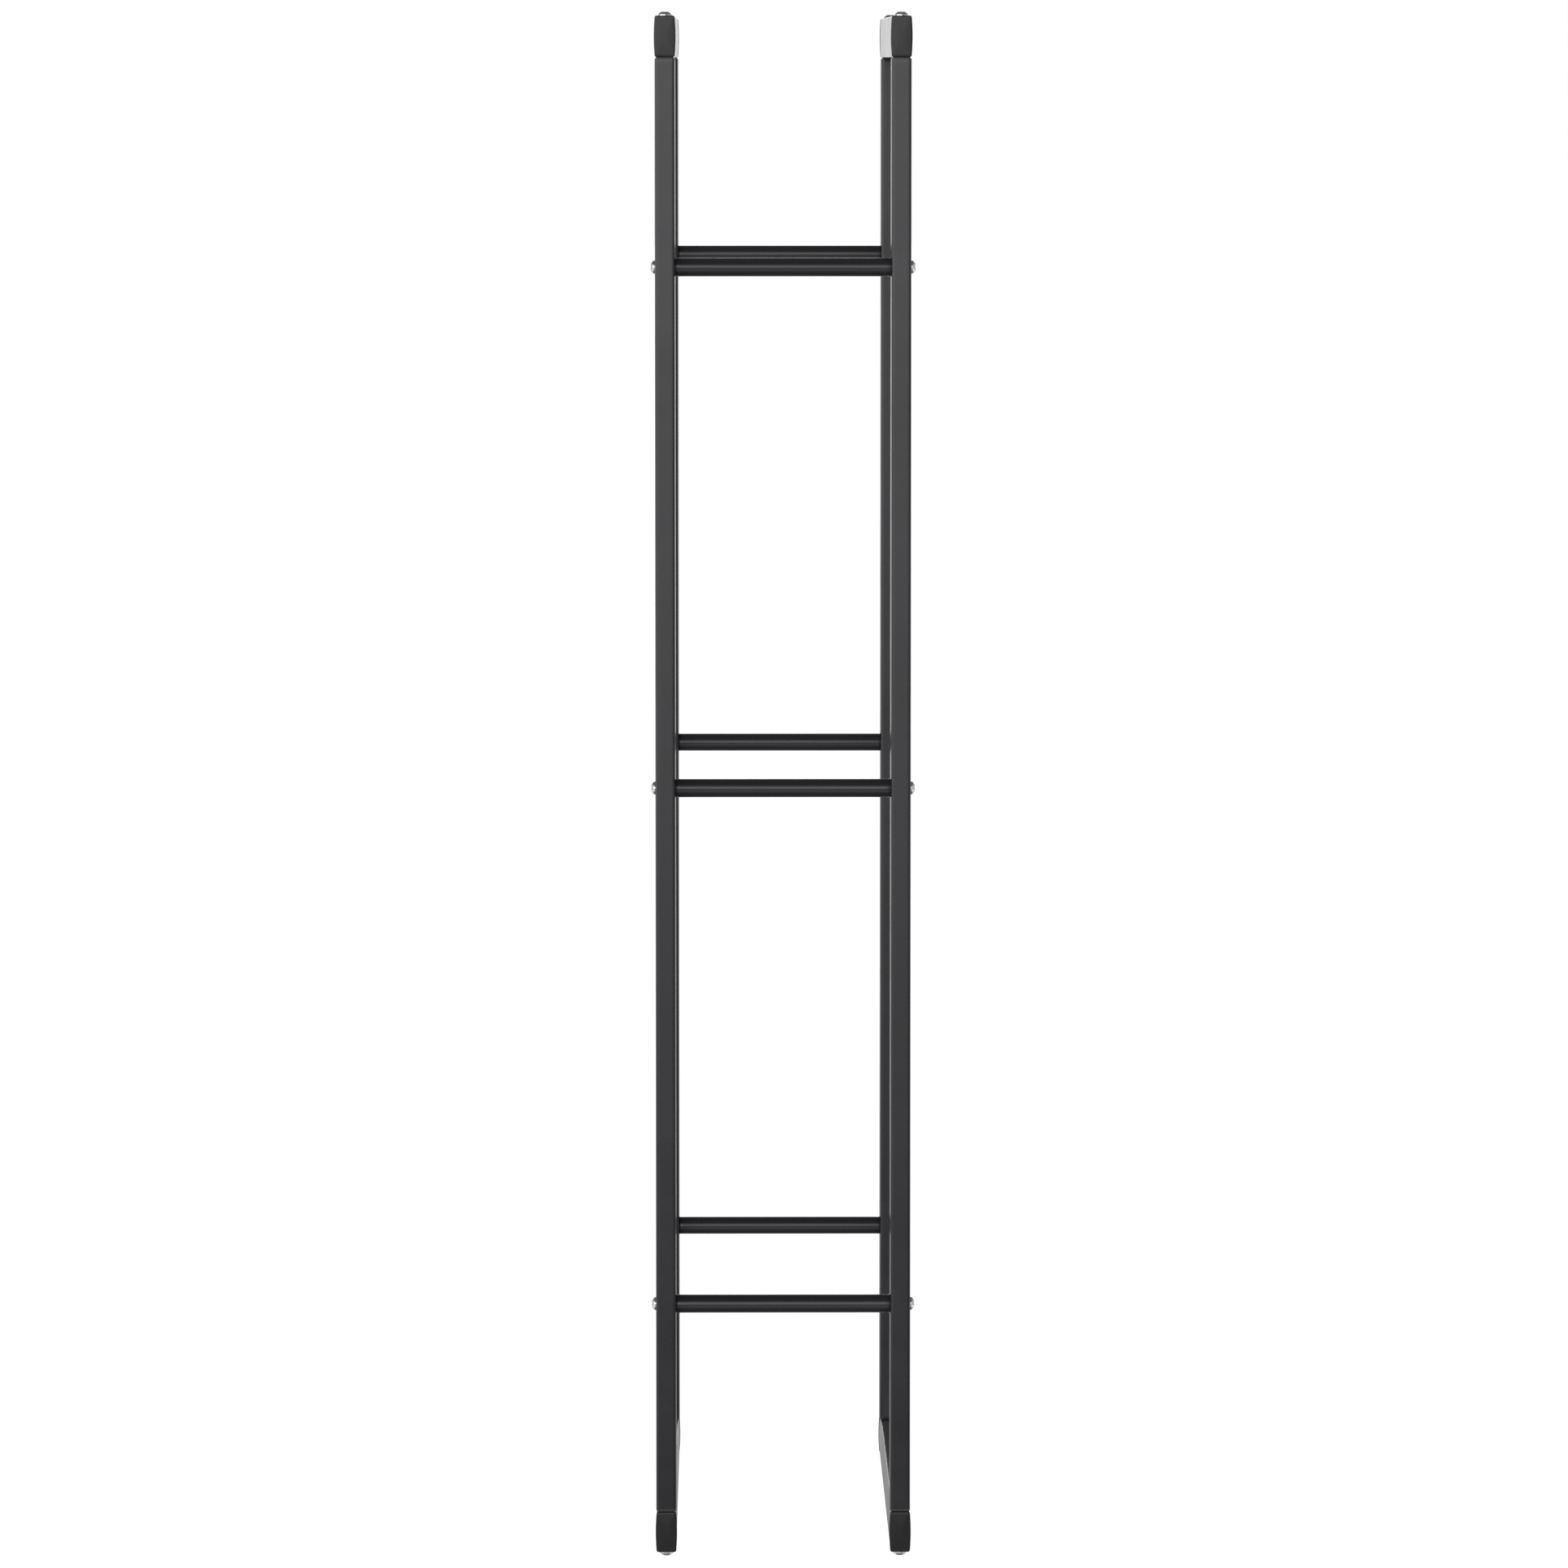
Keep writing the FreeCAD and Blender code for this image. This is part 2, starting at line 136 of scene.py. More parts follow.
def bowed_outline(inset=0.0, thick=TUBE_THICK):
    """Closed outline of the tube, moved inwards by inset: two large side arcs and two level edges,
    joined by corner arcs tangent to both. Counter-clockwise, the same number of points at any
    inset."""
    v = TUBE_BROAD / 2 - inset
    side = TUBE_SIDE - inset
    corner = max(TUBE_CORNER - inset, TUBE_CORNER / 4)
    side_u = side - (thick / 2 - inset)
    corner_v = v - corner
    turn = math.asin(corner_v / (side - corner))
    corner_u = (side - corner) * math.cos(turn) - side_u
    edge_u = np.linspace(corner_u, 0, EDGE_POINTS + 2)[1:-1]
    quarter = np.concatenate([
        arc((-side_u, 0), side, 0, turn, SIDE_POINTS)[:-1],
        arc((corner_u, corner_v), corner, turn, math.pi / 2, CORNER_POINTS),
        np.stack([edge_u, np.full(EDGE_POINTS, v)], 1),
    ])
    top = np.array([[0.0, v]])
    upper = np.concatenate([quarter, top, (quarter * (-1, 1))[::-1]])
    return np.concatenate([upper, (upper * (1, -1))[::-1][1:-1]])


def cap_outline(inset):
    """The outline of a cap's flange: the tube's, with sides that stand proud of it."""
    return bowed_outline(inset, CAP_THICK)


def circle_like(outline, radius):
    """A circle with a point in the direction of each point of an outline."""
    angle = np.arctan2(outline[:, 1], outline[:, 0])
    return radius * np.stack([np.cos(angle), np.sin(angle)], 1)


def turning(count):
    """count even steps of a full turn, as angles a and as points (cos a, sin a)."""
    angle = np.arange(count) * 2 * math.pi / count
    return angle, np.stack([np.cos(angle), np.sin(angle)], 1)


def rings(outlines, heights):
    """Stacks outlines into an array of rings: outline number i lies at height i along S."""
    outlines = np.asarray(outlines)
    level = np.stack([np.full(outlines.shape[1], height) for height in heights])
    return np.concatenate([outlines, level[..., None]], 2)


def carried(grid, origin, u, v, s):
    """Carries a grid of (u, v, s) coordinates to the part's frame: origin + u * U + v * V + s * S."""
    return origin + grid @ np.stack([u, v, s])


def signed_volume(corners, faces, caps):
    """Sum over all faces of the volume of the tetrahedron that a triangle makes with the origin."""
    fans = np.concatenate([faces[:, [0, 1, 2]], faces[:, [0, 2, 3]], caps])
    a, b, c = (corners[fans[:, k]] for k in range(3))
    return float(np.einsum("ij,ij->i", a, np.cross(b, c)).sum()) / 6


def build(name, grids, material, replaced, looped=False, marks=None, sharp=40):
    """A closed mesh of one or more grids of rings. Each ring closes on itself; with looped the last
    ring joins the first, otherwise both end rings are closed by a point at their middle. marks gives
    one number for each grid point, kept as the attribute mark. Edges that turn by more than sharp
    degrees stay crisp."""
    points, quads, triangles, values = [], [], [], []
    start = 0
    for index, grid in enumerate(grids):
        rows, columns = grid.shape[:2]
        number = np.arange(rows * columns).reshape(rows, columns) + start
        lower = number if looped else number[:-1]
        upper = np.roll(number, -1, 0) if looped else number[1:]
        ring_quads = np.stack([lower, np.roll(lower, -1, 1), np.roll(upper, -1, 1), upper], -1)
        quads.append(ring_quads.reshape(-1, 4))
        points.append(grid.reshape(-1, 3))
        values.append(np.zeros(rows * columns) if marks is None else marks[index].reshape(-1))
        start += rows * columns
        if not looped:
            poles = np.stack([grid[0].mean(0), grid[-1].mean(0)])
            points.append(poles)
            values.append(values[-1][[0, -1]])
            first, last = number[0], number[-1]
            triangles.append(np.stack([np.roll(first, -1), first, np.full(columns, start)], -1))
            triangles.append(np.stack([last, np.roll(last, -1), np.full(columns, start + 1)], -1))
            start += 2
    corners = np.concatenate(points)
    faces = np.concatenate(quads)
    caps = np.concatenate(triangles) if triangles else np.zeros((0, 3), int)
    if signed_volume(corners, faces, caps) < 0:
        faces, caps = faces[:, ::-1], caps[:, ::-1]
    mesh = bpy.data.meshes.new(name)
    mesh.vertices.add(len(corners))
    mesh.vertices.foreach_set("co", corners.astype(np.float32).ravel())
    mesh.loops.add(faces.size + caps.size)
    numbers = np.concatenate([faces.ravel(), caps.ravel()])
    mesh.loops.foreach_set("vertex_index", numbers.astype(np.int32))
    mesh.polygons.add(len(faces) + len(caps))
    starts = np.concatenate([np.arange(len(faces)) * 4, faces.size + np.arange(len(caps)) * 3])
    mesh.polygons.foreach_set("loop_start", starts.astype(np.int32))
    mesh.update(calc_edges=True)
    mesh.validate()
    attribute = mesh.attributes.new("mark", "FLOAT", "POINT")
    attribute.data.foreach_set("value", np.concatenate(values).astype(np.float32))
    mesh.polygons.foreach_set("use_smooth", np.ones(len(mesh.polygons), bool))
    mesh.set_sharp_from_angle(angle=math.radians(sharp))
    mesh.materials.append(material["shader"])
    piece = bpy.data.objects.new(name, mesh)
    bpy.context.scene.collection.objects.link(piece)
    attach(piece, "root")
    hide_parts(*replaced)


def tube_grid(outline_at, wall, length):
    """A tube from s = 0 to length as a loop of rings: the outer skin, a rounded rim, the inner skin
    and the other rim. The rim is a quarter circle, rim * (1 - cos a) along and rim * (1 - sin a)
    inwards. Each ring's mark is e to the power of -(distance to the nearer end) / thin paint."""
    turn = np.linspace(0, math.pi / 2, RIM_STEPS)
    even = np.linspace(EVEN_RINGS_FROM, length / 2, EVEN_RINGS)
    along = np.concatenate([FIRST_RINGS, even])
    near = [(RIM, wall), (RIM * 0.3, wall - RIM * 0.3), (0.0, wall - RIM)]
    near += [(RIM * (1 - math.cos(a)), RIM * (1 - math.sin(a))) for a in turn]
    near += [(s, 0.0) for s in along]
    half = np.array(near)
    far = half[::-1][1:] * (-1, 1) + (length, 0)
    path = np.concatenate([half, far])
    grid = rings([outline_at(inset) for _, inset in path], path[:, 0])
    reach = np.minimum(path[:, 0], length - path[:, 0])
    marks = np.repeat(np.exp(-reach / THIN_PAINT)[:, None], grid.shape[1], 1)
    return grid, marks


# ---------------------------------------------------------------- materials

class Nodes:
    """Adds nodes to a material's or world's node tree and wires them by name."""

    def __init__(self, tree, coordinates):
        self.tree = tree
        self.place = self.add("ShaderNodeTexCoord").outputs[coordinates]

    def add(self, kind, inputs=(), **settings):
        made = self.tree.nodes.new(kind)
        for key, setting in settings.items():
            setattr(made, key, setting)
        for key, source in dict(inputs).items():
            self.put(made.inputs[key], source)
        return made

    def put(self, socket, source):
        if isinstance(source, bpy.types.NodeSocket):
            self.tree.links.new(source, socket)
        else:
            socket.default_value = source

    def noise(self, scale, detail=2.0, roughness=0.5):
        """Noise with features of about 1 / scale metres."""
        settings = {"Vector": self.place, "Scale": scale, "Detail": detail, "Roughness": roughness}
        return self.add("ShaderNodeTexNoise", settings).outputs["Fac"]

    def spots(self, scale, size):
        """1 in round spots of radius size / scale metres, one to a cell, fading to 0 outside them."""
        cell = self.add("ShaderNodeTexVoronoi", {"Vector": self.place, "Scale": scale})
        return self.span(cell.outputs["Distance"], size, size * 0.4, 0.0, 1.0)

    def span(self, value, low, high, to_low, to_high):
        """Maps low..high to to_low..to_high and holds the ends."""
        sockets = {"Value": value, "From Min": low, "From Max": high, "To Min": to_low, "To Max": to_high}
        return self.add("ShaderNodeMapRange", sockets).outputs["Result"]

    def smooth(self, value, low, high):
        """0 at low, 1 at high and an even curve between them."""
        sockets = {"Value": value, "From Min": low, "From Max": high}
        made = self.add("ShaderNodeMapRange", sockets, interpolation_type="SMOOTHSTEP")
        return made.outputs["Result"]

    def math(self, operation, a, b=0.0):
        made = self.add("ShaderNodeMath", operation=operation)
        self.put(made.inputs[0], a)
        self.put(made.inputs[1], b)
        return made.outputs["Value"]

    def product(self, first, *others):
        """All of its arguments multiplied."""
        for other in others:
            first = self.math("MULTIPLY", first, other)
        return first

    def mark(self):
        """The number that each point of the mesh keeps as its mark."""
        return self.add("ShaderNodeAttribute", attribute_name="mark").outputs["Fac"]

    def mix(self, factor, a, b):
        made = self.add("ShaderNodeMix", data_type="RGBA")
        self.put(made.inputs["Factor"], factor)
        self.put(made.inputs["A"], a)
        self.put(made.inputs["B"], b)
        return made.outputs["Result"]

    def bump(self, height, distance, normal=None):
        sockets = {"Height": height, "Distance": distance, "Strength": 1.0}
        if normal:
            sockets["Normal"] = normal
        return self.add("ShaderNodeBump", sockets).outputs["Normal"]


class Finish(Nodes):
    """A new material with patterns on Object coordinates, and the slot that its pieces fill."""

    def __init__(self, name, slot=""):
        self.shader = bpy.data.materials.new(name)
        self.shader.use_nodes = True
        self.slot = slot
        super().__init__(self.shader.node_tree, "Object")

    def done(self, **sockets):
        """Fills the shader's sockets, with _ for a space in their names."""
        surface = self.tree.nodes["Principled BSDF"]
        for key, source in sockets.items():
            self.put(surface.inputs[key.replace("_", " ")], source)
        return {"shader": self.shader, "slot": self.slot}


# Two tones of each finish, between which a slow pattern drifts, and the paint's two accents.
COAT_TONES = (0.0175, 0.017, 0.0205, 1), (0.0225, 0.022, 0.0265, 1)
COAT_GRAIN = (0.032, 0.032, 0.034, 1)
COAT_THIN = (0.05, 0.05, 0.053, 1)
NYLON_TONES = (0.009, 0.009, 0.010, 1), (0.014, 0.014, 0.015, 1)
ZINC_TONES = (0.62, 0.64, 0.67, 1), (0.82, 0.82, 0.82, 1)
STEEL_TONES = (0.33, 0.33, 0.34, 1), (0.5, 0.5, 0.5, 1)
FLOOR_TONE = (0.5, 0.5, 0.5, 1)
PURE_WHITE = (1, 1, 1, 1)

# Depths of the bumps in metres, and the pitch of a bolt's turned rings.
PEEL_DEPTH = 24e-6
COAT_GRAIN_DEPTH = 4e-6
NIB_HEIGHT = 60e-6
ETCH_DEPTH = 10e-6
TURNED_DEPTH = 2e-6
SCORE_DEPTH = 4e-6
TURNED_PITCH = 0.22 * MM


def powder_coat():
    """Charcoal powder coat: orange peel about 2.5 mm across, a fine grain, a few nibs, a slow change of
    tone and gloss, and slightly paler paint where it thins over the sawn rims."""
    n = Finish("charcoal_powder_coat", "powder_coated_steel")
    drift = n.noise(9, detail=3)
    grain = n.noise(2600, detail=1)
    peel = n.noise(420, detail=1.5, roughness=0.35)
    tone = n.mix(n.span(drift, 0.3, 0.7, 0.0, 1.0), *COAT_TONES)
    tone = n.mix(n.span(grain, 0.55, 0.8, 0.0, 0.5), tone, COAT_GRAIN)
    tone = n.mix(n.math("MULTIPLY", n.mark(), 0.15), tone, COAT_THIN)
    gloss = n.span(n.noise(35, detail=4), 0.3, 0.7, 0.18, 0.22)
    normal = n.bump(peel, PEEL_DEPTH)
    normal = n.bump(grain, COAT_GRAIN_DEPTH, normal)
    normal = n.bump(n.spots(45, 0.016), NIB_HEIGHT, normal)
    return n.done(Base_Color=tone, Roughness=gloss, Normal=normal, IOR=1.5)


def moulded_plastic():
    """Black nylon with a fine eroded mould texture and a faint cloudiness."""
    n = Finish("black_moulded_nylon", "black_plastic")
    cloud = n.noise(120, detail=3)
    etch = n.noise(3200, detail=2)
    tone = n.mix(cloud, *NYLON_TONES)
    gloss = n.span(etch, 0.3, 0.7, 0.21, 0.27)
    normal = n.bump(etch, ETCH_DEPTH)
    return n.done(Base_Color=tone, Roughness=gloss, Normal=normal, IOR=1.43)


def zinc_plate():
    """Bright zinc on a cold-headed bolt: turned rings from the mark attribute, which holds the distance
    from the bolt's axis, and a light bloom."""
    n = Finish("bright_zinc_plate", "zinc_plated_steel")
    bloom = n.noise(700, detail=3)
    tone = n.mix(bloom, *ZINC_TONES)
    turned = n.math("SINE", n.math("MULTIPLY", n.mark(), 2 * math.pi / TURNED_PITCH))
    gloss = n.span(bloom, 0.3, 0.7, 0.16, 0.3)
    normal = n.bump(turned, TURNED_DEPTH)
    return n.done(Base_Color=tone, Metallic=1.0, Roughness=gloss, Normal=normal)


def plain_steel():
    """Free-cutting steel as turned, lightly oiled."""
    n = Finish("turned_steel", "plain_steel")
    stain = n.noise(300, detail=3)
    tone = n.mix(stain, *STEEL_TONES)
    normal = n.bump(n.noise(2500, detail=1), SCORE_DEPTH)
    gloss = n.span(stain, 0.3, 0.7, 0.3, 0.45)
    return n.done(Base_Color=tone, Metallic=1.0, Roughness=gloss, Normal=normal)


COAT = powder_coat()
NYLON = moulded_plastic()
ZINC = zinc_plate()
STEEL = plain_steel()


# ---------------------------------------------------------------- pieces

def make_upright(side, end):
    """Bowed tube standing on end, U along X and V along Y."""
    node = f"{side}_{end}_upright"
    low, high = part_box(node)
    grid, marks = tube_grid(bowed_outline, TUBE_WALL, high.z - low.z)
    origin = middle(node) * (1, 1, 0) + low.z * Z
    grid = carried(grid, origin, X, Y, Z)
    build(f"{node}_tube", [grid], COAT, [node], looped=True, marks=[marks])


def make_rail(side, level):
    """Bowed tube lying level, U along X and V along Z."""
    node = f"{side}_{level}_rail"
    low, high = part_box(node)
    grid, marks = tube_grid(bowed_outline, TUBE_WALL, high.y - low.y)
    origin = middle(node) * (1, 0, 1) + low.y * Y
    grid = carried(grid, origin, X, Z, Y)
    build(f"{node}_tube", [grid], COAT, [node], looped=True, marks=[marks])


def make_rung(end, level):
    """Round tube whose ends follow the bowed sides of the uprights: each end reaches further by
    side - sqrt(side^2 - y^2), where y is the distance from the upright's middle line."""
    node = f"{end}_{level}_rung"
    low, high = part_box(node)
    span = high.x - low.x
    unit = arc((0, 0), 1.0, 0, 2 * math.pi, RUNG_POINTS + 1)[:-1]
    grid, marks = tube_grid(lambda inset: unit * (RUNG_RADIUS - inset), RUNG_WALL, span)
    dip = TUBE_SIDE - np.sqrt(TUBE_SIDE ** 2 - grid[..., 0] ** 2)
    grid[..., 2] += dip * (2 * grid[..., 2] / span - 1)
    origin = middle(node) * (0, 1, 1) + low.x * X
    grid = carried(grid, origin, Y, Z, X)
    build(f"{node}_tube", [grid], COAT, [node], looped=True, marks=[marks])


def make_cap(side, level, end):
    """Cap as one closed skin: a slightly crowned face, a round edge, the flange, then the plug with
    three grip ridges and its hollow. The face's outlines are the cap's own outline times a share k,
    at a height of crown * k^2."""
    node = f"{side}_{level}_{end}_cap"
    low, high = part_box(node)
    depth = high.y - low.y
    share = np.array([0.08, 0.2, 0.4, 0.6, 0.8, 0.92, 1.0])
    outlines = [cap_outline(CAP_EDGE) * k for k in share]
    heights = list(CAP_CROWN * share ** 2)
    for a in np.linspace(0, math.pi / 2, CAP_EDGE_STEPS)[1:]:
        outlines.append(cap_outline(CAP_EDGE * (1 - math.sin(a))))
        heights.append(CAP_CROWN + CAP_EDGE * (1 - math.cos(a)))
    outlines += [cap_outline(0.0), cap_outline(CAP_BACK_EDGE), bowed_outline(CAP_ROOT_INSET)]
    heights += [CAP_FLANGE - CAP_BACK_EDGE, CAP_FLANGE, CAP_FLANGE]
    for ridge in CAP_RIDGES:
        for offset, drop in RIDGE_PROFILE:
            outlines.append(bowed_outline(CAP_PLUG_INSET + drop * MM))
            heights.append(CAP_FLANGE + (ridge + offset) * MM)
    hollow = bowed_outline(CAP_HOLLOW_INSET)
    outlines += [bowed_outline(CAP_TIP_INSET), hollow, hollow, hollow * 0.1]
    heights += [depth, depth, CAP_FLANGE, CAP_FLANGE]
    face, inward = (low.y, Y) if end == "right" else (high.y, -Y)
    origin = middle(node) * (1, 0, 1) + face * Y
    grid = carried(rings(outlines, heights), origin, X, Z, inward)
    build(f"{node}_moulding", [grid], NYLON, [node])


def make_upright_plug(side, end, level):
    """Threaded plug: a loop of rings from the bore over the flange's face, round its edge and down the
    core, back to the bore. The flat faces blend from a circle at the bore to the tube's outline."""
    node = f"{side}_{end}_{level}_plug"
    low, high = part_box(node)
    depth = high.z - low.z
    seam = PLUG_FLANGE[level]
    flange = bowed_outline(PLUG_FLANGE_INSET)
    soft = bowed_outline(PLUG_FLANGE_INSET + PLUG_EDGE)
    core = bowed_outline(PLUG_CORE_INSET)
    tip = bowed_outline(PLUG_TIP_INSET)
    bore = circle_like(flange, PLUG_BORE)
    lead = circle_like(flange, PLUG_BORE + BORE_LEAD)
    profile = [
        (lead, 0), ((lead + soft) / 2, 0), (soft, 0), (flange, PLUG_EDGE), (flange, seam),
        (core, seam + 0.01 * MM), (core, depth - 1 * MM), (tip, depth), ((lead + tip) / 2, depth),
        (lead, depth), (bore, depth - BORE_LEAD), (bore, BORE_LEAD),
    ]
    outlines, heights = zip(*profile)
    face, inward = (low.z, Z) if level == "bottom" else (high.z, -Z)
    origin = middle(node) * (1, 1, 0) + face * Z
    grid = carried(rings(outlines, heights), origin, X, Y, inward)
    build(f"{node}_moulding", [grid], NYLON, [node], looped=True)


def bolt_grid(length, height=HEAD_HEIGHT):
    """Dome-head bolt with its seat at s = 0 and its head towards +S, as one stack of rings: the
    socket's cone and hexagon, the flat, the dome, the rim, the shank, a thread and the tip.
    The hexagon's radius is (flats / 2) / cos(angle from the middle of a side). The dome is a circle
    through the flat's edge and the rim's. The thread's radius is the shank's less depth times a
    triangle wave of (s / pitch - turn). Also gives each point's distance from the axis."""
    angle, unit = turning(BOLT_POINTS)
    from_side = (angle + math.pi / 6) % (math.pi / 3) - math.pi / 6
    hexagon = (SOCKET_FLATS / 2) / np.cos(from_side)
    mouth = np.maximum(hexagon, SOCKET_FLATS / 2 * 1.08)
    floor_level = height - SOCKET_DEPTH
    profile = [
        (hexagon * 0.1, floor_level - 0.7 * MM), (hexagon * 0.86, floor_level - 0.15 * MM),
        (hexagon, floor_level), (hexagon, height - SOCKET_CHAMFER), (mouth, height),
        (HEAD_FLAT - 0.25 * MM, height), (HEAD_FLAT - 0.05 * MM, height - 0.01 * MM),
    ]
    rise = HEAD_HEIGHT - HEAD_RIM
    rim = height - rise
    centre = rim + (HEAD_FLAT ** 2 + rise ** 2 - HEAD_RADIUS ** 2) / (2 * rise)
    dome = math.hypot(HEAD_FLAT, height - centre)
    first = math.atan2(height - centre, HEAD_FLAT)
    last = math.atan2(rim - centre, HEAD_RADIUS)
    for a in np.linspace(first, last, DOME_STEPS)[1:-2]:
        profile.append((dome * math.cos(a), centre + dome * math.sin(a)))
    profile += [(HEAD_RADIUS - r * MM, rim + s * MM) for r, s in HEAD_EDGE]
    thread_start = THREAD_LENGTH - length
    profile += [
        (HEAD_RADIUS, 0.15 * MM), (HEAD_RADIUS - 0.15 * MM, 0), (SHANK_RADIUS + SHANK_FILLET, 0),
        (SHANK_RADIUS, -SHANK_FILLET), (SHANK_RADIUS, thread_start + THREAD_PITCH),
    ]
    thread_rings = int(THREAD_LENGTH / THREAD_PITCH * THREAD_STEPS)
    for s in np.linspace(thread_start, 1 * MM - length, thread_rings):
        phase = (s / THREAD_PITCH - angle / (2 * math.pi)) % 1
        wave = 1 - np.abs(2 * phase - 1)
        fade = min(1.0, (thread_start - s) / (2 * THREAD_PITCH))
        profile.append((SHANK_RADIUS - THREAD_DEPTH * wave * fade, s))
    profile += [(SHANK_RADIUS - r * MM, s * MM - length) for r, s in BOLT_TIP]
    radii = np.array([np.broadcast_to(radius, BOLT_POINTS) for radius, _ in profile])
    return rings(radii[..., None] * unit, [level for _, level in profile]), radii


def make_rail_bolt(side, end, level):
    """Bolt through a rail's end: its head is up on a top rail, and down as a foot on a bottom one."""
    node = f"{side}_{end}_{level}_bolt"
    low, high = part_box(node)
    top = level == "top"
    height = HEAD_HEIGHT if top else FOOT_HEIGHT
    grid, radii = bolt_grid(high.z - low.z - height, height)
    seat = high.z - height if top else low.z + height
    origin = middle(node) * (1, 1, 0) + seat * Z
    grid = carried(grid, origin, X, Y, Z if top else -Z)
    build(f"{node}_dome_head", [grid], ZINC, [node], marks=[radii], sharp=30)


def make_rung_bolts(side):
    """The six bolts of one frame, each on the axis of a rung, with its hexagon turned its own way."""
    node = f"{side}_rung_bolts"
    low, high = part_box(node)
    outward = -X if side == "front" else X
    grid, radii = bolt_grid(high.x - low.x - HEAD_HEIGHT)
    seat = low.x + HEAD_HEIGHT if side == "front" else high.x - HEAD_HEIGHT
    grids = []
    for end in ENDS:
        for level in RUNG_LEVELS:
            spin = BOLT_SPIN * len(grids)
            u = math.cos(spin) * Y + math.sin(spin) * Z
            v = np.cross(outward, u)
            origin = middle(f"{end}_{level}_rung") * (0, 1, 1) + seat * X
            grids.append(carried(grid, origin, u, v, outward))
    marks = [radii] * len(grids)
    build(f"{node}_dome_heads", grids, ZINC, [node], marks=marks, sharp=30)


def make_rung_inserts(side):
    """The six threaded inserts of one frame: each a loop of rings from the bore over one end, along the
    knurled outside and back over the other end. The knurl's radius is the outside's less
    depth * (1 + cos(teeth * a))."""
    node = f"{side}_rung_inserts"
    low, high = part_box(node)
    mouth, inward = (low.x, X) if side == "front" else (high.x, -X)
    angle, unit = turning(INSERT_POINTS)
    outer = RUNG_RADIUS - RUNG_WALL - INSERT_GAP
    edge = outer - INSERT_EDGE
    knurl = outer - KNURL_DEPTH * (1 + np.cos(KNURL_TEETH * angle))
    profile = [
        (INSERT_MOUTH, 0), (edge, 0), (outer, 0.4), (outer, 3.0), (knurl, 3.4), (knurl, 18.6),
        (outer, 19.0), (edge, 22.0), (INSERT_MOUTH, 22.0), (PLUG_BORE, 21.4), (PLUG_BORE, 0.6),
    ]
    radii = np.array([np.broadcast_to(radius, INSERT_POINTS) for radius, _ in profile])
    steps = np.array([step for _, step in profile])
    grid = rings(radii[..., None] * unit, steps * MM * (high.x - low.x) / INSERT_LENGTH)
    grids = []
    for end in ENDS:
        for level in RUNG_LEVELS:
            origin = middle(f"{end}_{level}_rung") * (0, 1, 1) + mouth * X
            grids.append(carried(grid, origin, Y, Z, inward))
    build(f"{node}_turned", grids, STEEL, [node], looped=True, sharp=30)


for side in SIDES:
    for end in ENDS:
        make_upright(side, end)
        for level in RAIL_LEVELS:
            make_cap(side, level, end)
            make_upright_plug(side, end, level)
            make_rail_bolt(side, end, level)
    for level in RAIL_LEVELS:
        make_rail(side, level)
    make_rung_bolts(side)
    make_rung_inserts(side)
for end in ENDS:
    for level in RUNG_LEVELS:
        make_rung(end, level)


# ---------------------------------------------------------------- stage, light and camera

# Strengths of the studio's parts. To the camera, floor and surround are all WHITE.
WHITE = 1.0
BACKDROP = 1.75
BACKDROP_SIDES = 0.33            # share of BACKDROP that its sides keep
WINDOW = 2.5
WINDOW_SIDE = 0.1                # share of WINDOW beyond its edge towards +X
WINDOW_LOW = 0.4                 # share of WINDOW that it keeps below the level
FLOOR_GLOW = 1.0
FLOOR_NEAR = 0.1                 # glow of the floor straight below
ROOM = (0.06, 0.15)              # low down and overhead
FILL = 0.4                       # from both sides

FLOOR_REACH = 60.0
CAMERA_LENS = 193.81             # mm
CAMERA_REACH = 200
CAMERA_PLACE = (-0.0550, -8.4795, 1.4594)
CAMERA_DOWN = 4.874              # degrees
CAMERA_TURN = -0.3905            # degrees


def make_floor():
    """A large pale floor, lit from within like a light table so that it stays even to the horizon."""
    reach = FLOOR_REACH
    corners = [(-reach, -reach, 0), (reach, -reach, 0), (reach, reach, 0), (-reach, reach, 0)]
    mesh = bpy.data.meshes.new("floor")
    mesh.from_pydata(corners, [], [(0, 1, 2, 3)])
    pale = Finish("pale_floor").done(
        Base_Color=FLOOR_TONE, Roughness=0.9, Specular_IOR_Level=0.0,
        Emission_Color=PURE_WHITE, Emission_Strength=WHITE,
    )
    mesh.materials.append(pale["shader"])
    floor = bpy.data.objects.new("floor", mesh)
    floor.visible_diffuse = False
    floor.visible_glossy = False
    bpy.context.scene.collection.objects.link(floor)


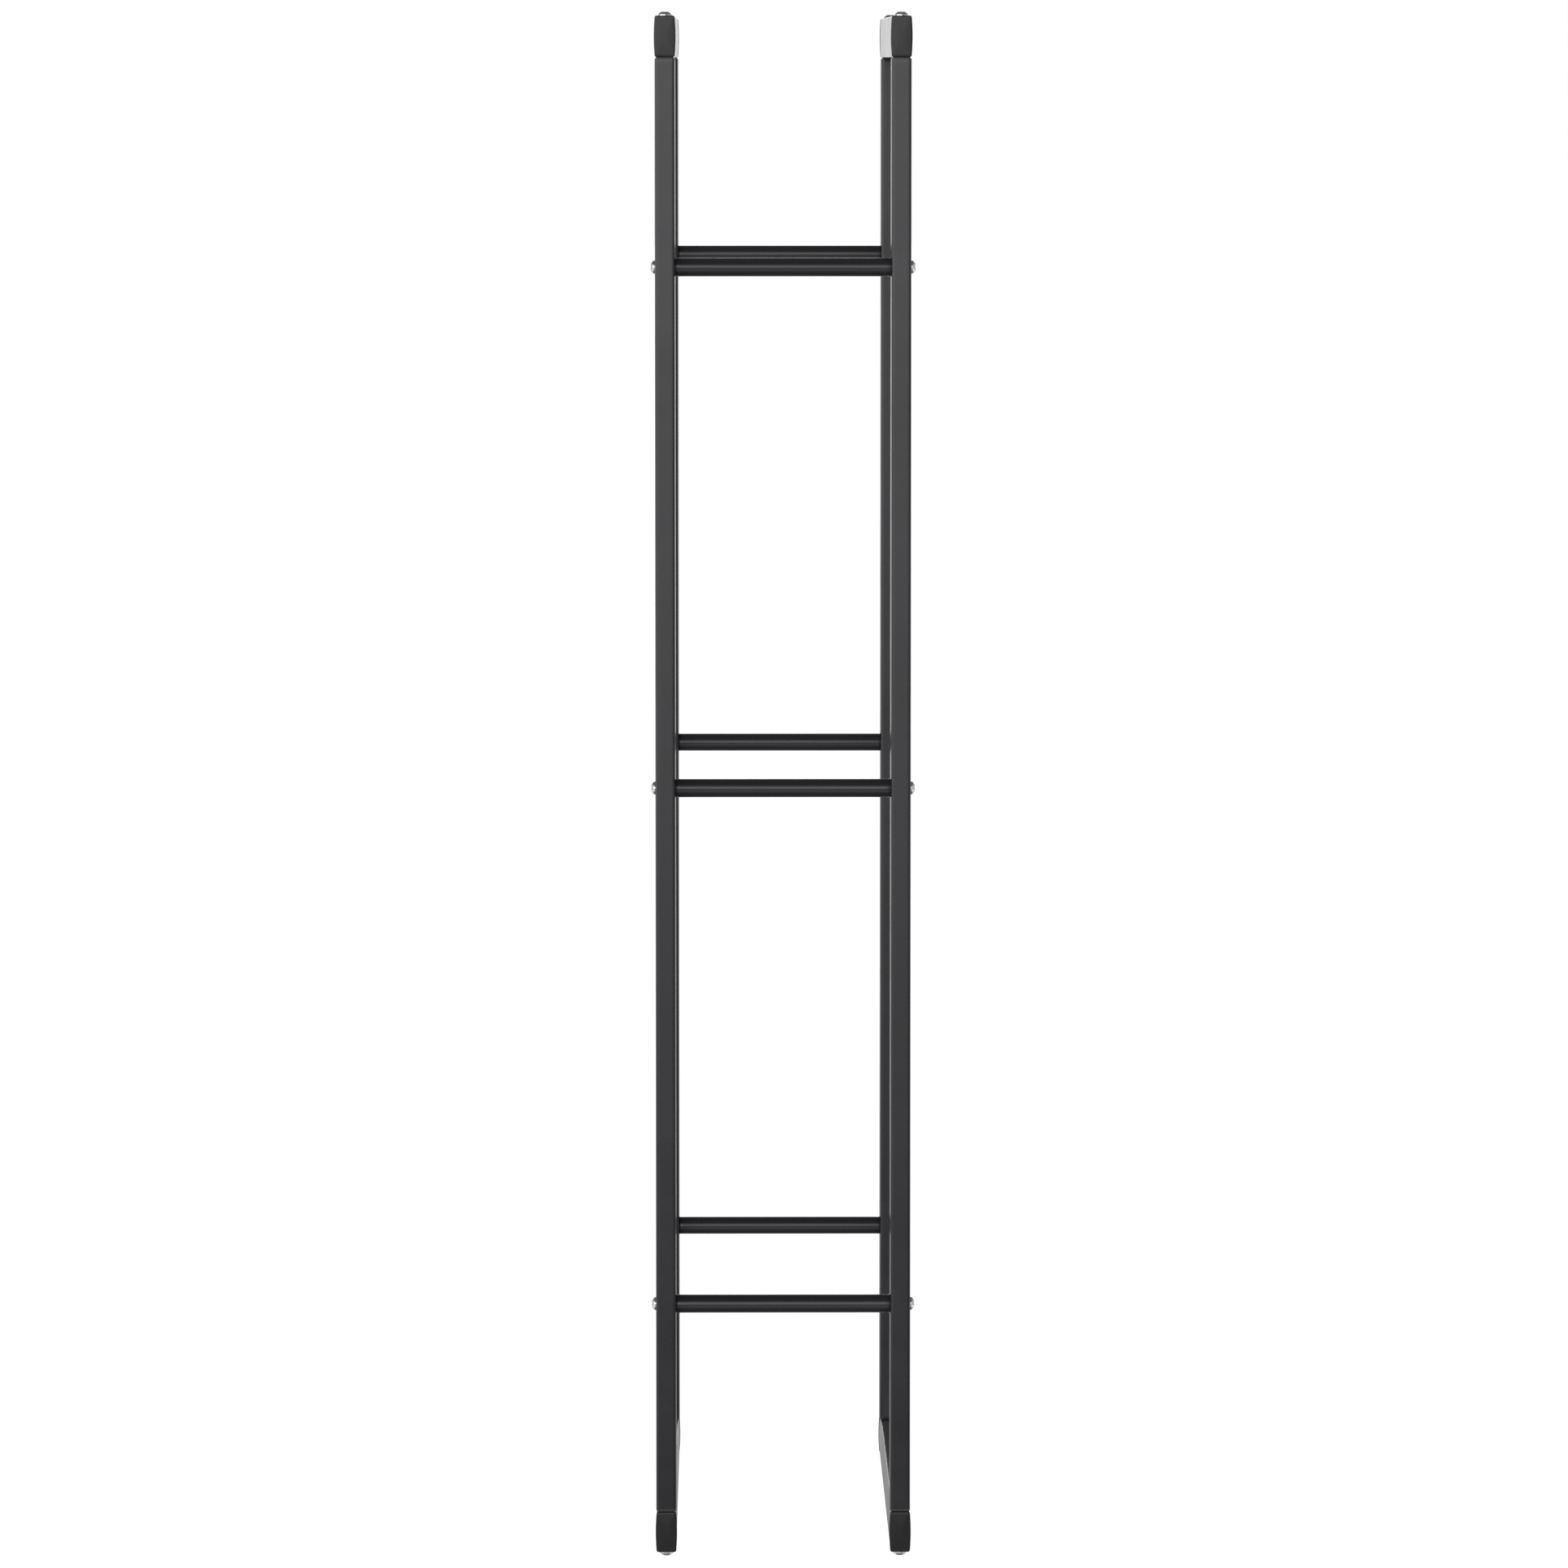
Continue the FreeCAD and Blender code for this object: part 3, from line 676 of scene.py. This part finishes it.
def make_world():
    """The light from all round, by direction: x, y and z are the parts of a unit vector, so y is +1
    beyond the rack's far end and z is 0 on the level. A white backdrop stands beyond the far end and a
    window before the near one, in a dim room with a bright floor and fill from both sides. To the
    camera it is WHITE all round, so that the room has no corners in any view."""
    world = bpy.data.worlds.new("studio")
    bpy.context.scene.world = world
    world.use_nodes = True
    n = Nodes(world.node_tree, "Generated")
    x, y, z = n.add("ShaderNodeSeparateXYZ", {"Vector": n.place}).outputs
    aside = n.math("ABSOLUTE", x)
    backdrop = n.product(
        n.span(aside, 0.04, 0.11, BACKDROP, BACKDROP_SIDES * BACKDROP),
        n.smooth(y, 0.0, 0.7), n.smooth(z, -0.26, -0.04), n.smooth(z, 0.5, 0.15),
    )
    window = n.product(
        n.smooth(y, 0.1, -0.4), n.span(n.smooth(x, 0.33, -0.06), 0.0, 1.0, WINDOW_SIDE, 1.0),
        n.smooth(z, 0.65, 0.15), n.smooth(z, -0.145, -0.12),
        n.span(z, -0.1, 0.01, WINDOW_LOW, 1.0), WINDOW,
    )
    floor = n.product(n.smooth(z, -0.23, -0.33), n.span(z, -0.3, -0.95, FLOOR_GLOW, FLOOR_NEAR))
    room = n.span(z, -0.1, 0.5, *ROOM)
    fill = n.product(n.smooth(aside, 0.75, 0.97), FILL)
    light = backdrop
    for part in (window, floor, room, fill):
        light = n.math("ADD", light, part)
    seen = n.add("ShaderNodeLightPath").outputs["Is Camera Ray"]
    inputs = {"Factor": seen, "A": light, "B": WHITE}
    strength = n.add("ShaderNodeMix", inputs, data_type="FLOAT").outputs["Result"]
    background = n.tree.nodes["Background"].inputs
    n.put(background["Color"], PURE_WHITE)
    n.put(background["Strength"], strength)


def make_camera():
    """The camera, well away from the near end and looking a little down."""
    data = bpy.data.cameras.new("camera")
    data.lens = CAMERA_LENS
    data.clip_end = CAMERA_REACH
    camera = bpy.data.objects.new("camera", data)
    camera.location = CAMERA_PLACE
    camera.rotation_euler = (math.radians(90 - CAMERA_DOWN), 0, math.radians(CAMERA_TURN))
    bpy.context.scene.collection.objects.link(camera)
    bpy.context.scene.camera = camera


make_floor()
make_world()
make_camera()
bpy.context.scene.view_settings.view_transform = "Standard"
